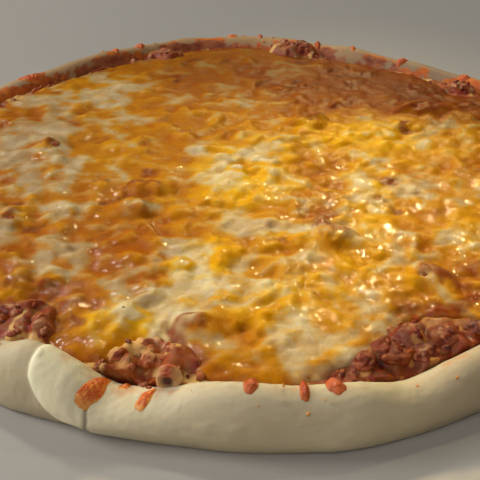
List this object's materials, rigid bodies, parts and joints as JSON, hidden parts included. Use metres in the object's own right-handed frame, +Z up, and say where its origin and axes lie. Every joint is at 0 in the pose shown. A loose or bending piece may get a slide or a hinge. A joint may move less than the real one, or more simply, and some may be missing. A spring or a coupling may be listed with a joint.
{
  "type": "pizza",
  "caption": "Whole round home-baked pizza with a pale raised dough rim, a layer of ground meat in sauce and a sheet of melted mixed cheese, with cheese baked over the rim.",
  "frame": {"origin": "centre of the pizza's outline on the surface that it rests on", "axes": "+Z up, away from the surface that the pizza rests on; -Y towards the side with the fold in the rim"},
  "size_m": [0.3334, 0.3356, 0.0254],
  "materials": {
    "dough": "pale baked dough, matte, faintly oily by the crest, with a dusting of flour",
    "meat_sauce": "wet dark red meat sauce, glossy",
    "cheese": "melted orange and cream cheese, smooth and oily",
    "ground_meat": "browned ground meat, rough with a wet glaze",
    "baked_cheese": "cheese baked crisp on the dough, orange-red, bubbly"
  },
  "bodies": {
    "root": {"crust": "dough", "meat_sauce": "meat_sauce", "cheese": "cheese", "meat_lump_01": "ground_meat", "meat_lump_02": "ground_meat", "meat_lump_03": "ground_meat", "meat_lump_04": "ground_meat", "meat_lump_05": "ground_meat", "meat_lump_06": "ground_meat", "meat_lump_07": "ground_meat", "meat_lump_08": "ground_meat", "meat_lump_09": "ground_meat", "meat_lump_10": "ground_meat", "meat_lump_11": "ground_meat", "meat_lump_12": "ground_meat", "meat_lump_13": "ground_meat", "meat_lump_14": "ground_meat", "meat_lump_15": "ground_meat", "meat_lump_16": "ground_meat", "meat_lump_17": "ground_meat", "meat_lump_18": "ground_meat", "meat_lump_19": "ground_meat", "meat_lump_20": "ground_meat", "meat_lump_21": "ground_meat", "meat_lump_22": "ground_meat", "meat_lump_23": "ground_meat", "meat_lump_24": "ground_meat", "cheese_bubble": "baked_cheese", "cheese_drip_01": "baked_cheese", "cheese_drip_02": "baked_cheese", "cheese_drip_03": "baked_cheese", "cheese_drip_04": "baked_cheese", "cheese_drip_05": "baked_cheese", "cheese_drip_06": "baked_cheese", "cheese_drip_07": "baked_cheese", "cheese_drip_08": "baked_cheese", "cheese_drip_09": "baked_cheese", "cheese_drip_10": "baked_cheese", "cheese_drip_11": "baked_cheese", "cheese_drip_12": "baked_cheese", "cheese_drip_13": "baked_cheese", "cheese_drip_14": "baked_cheese", "cheese_drip_15": "baked_cheese", "cheese_drip_16": "baked_cheese", "cheese_drip_17": "baked_cheese", "cheese_drip_18": "baked_cheese", "cheese_drip_19": "baked_cheese"}
  },
  "joints": []
}
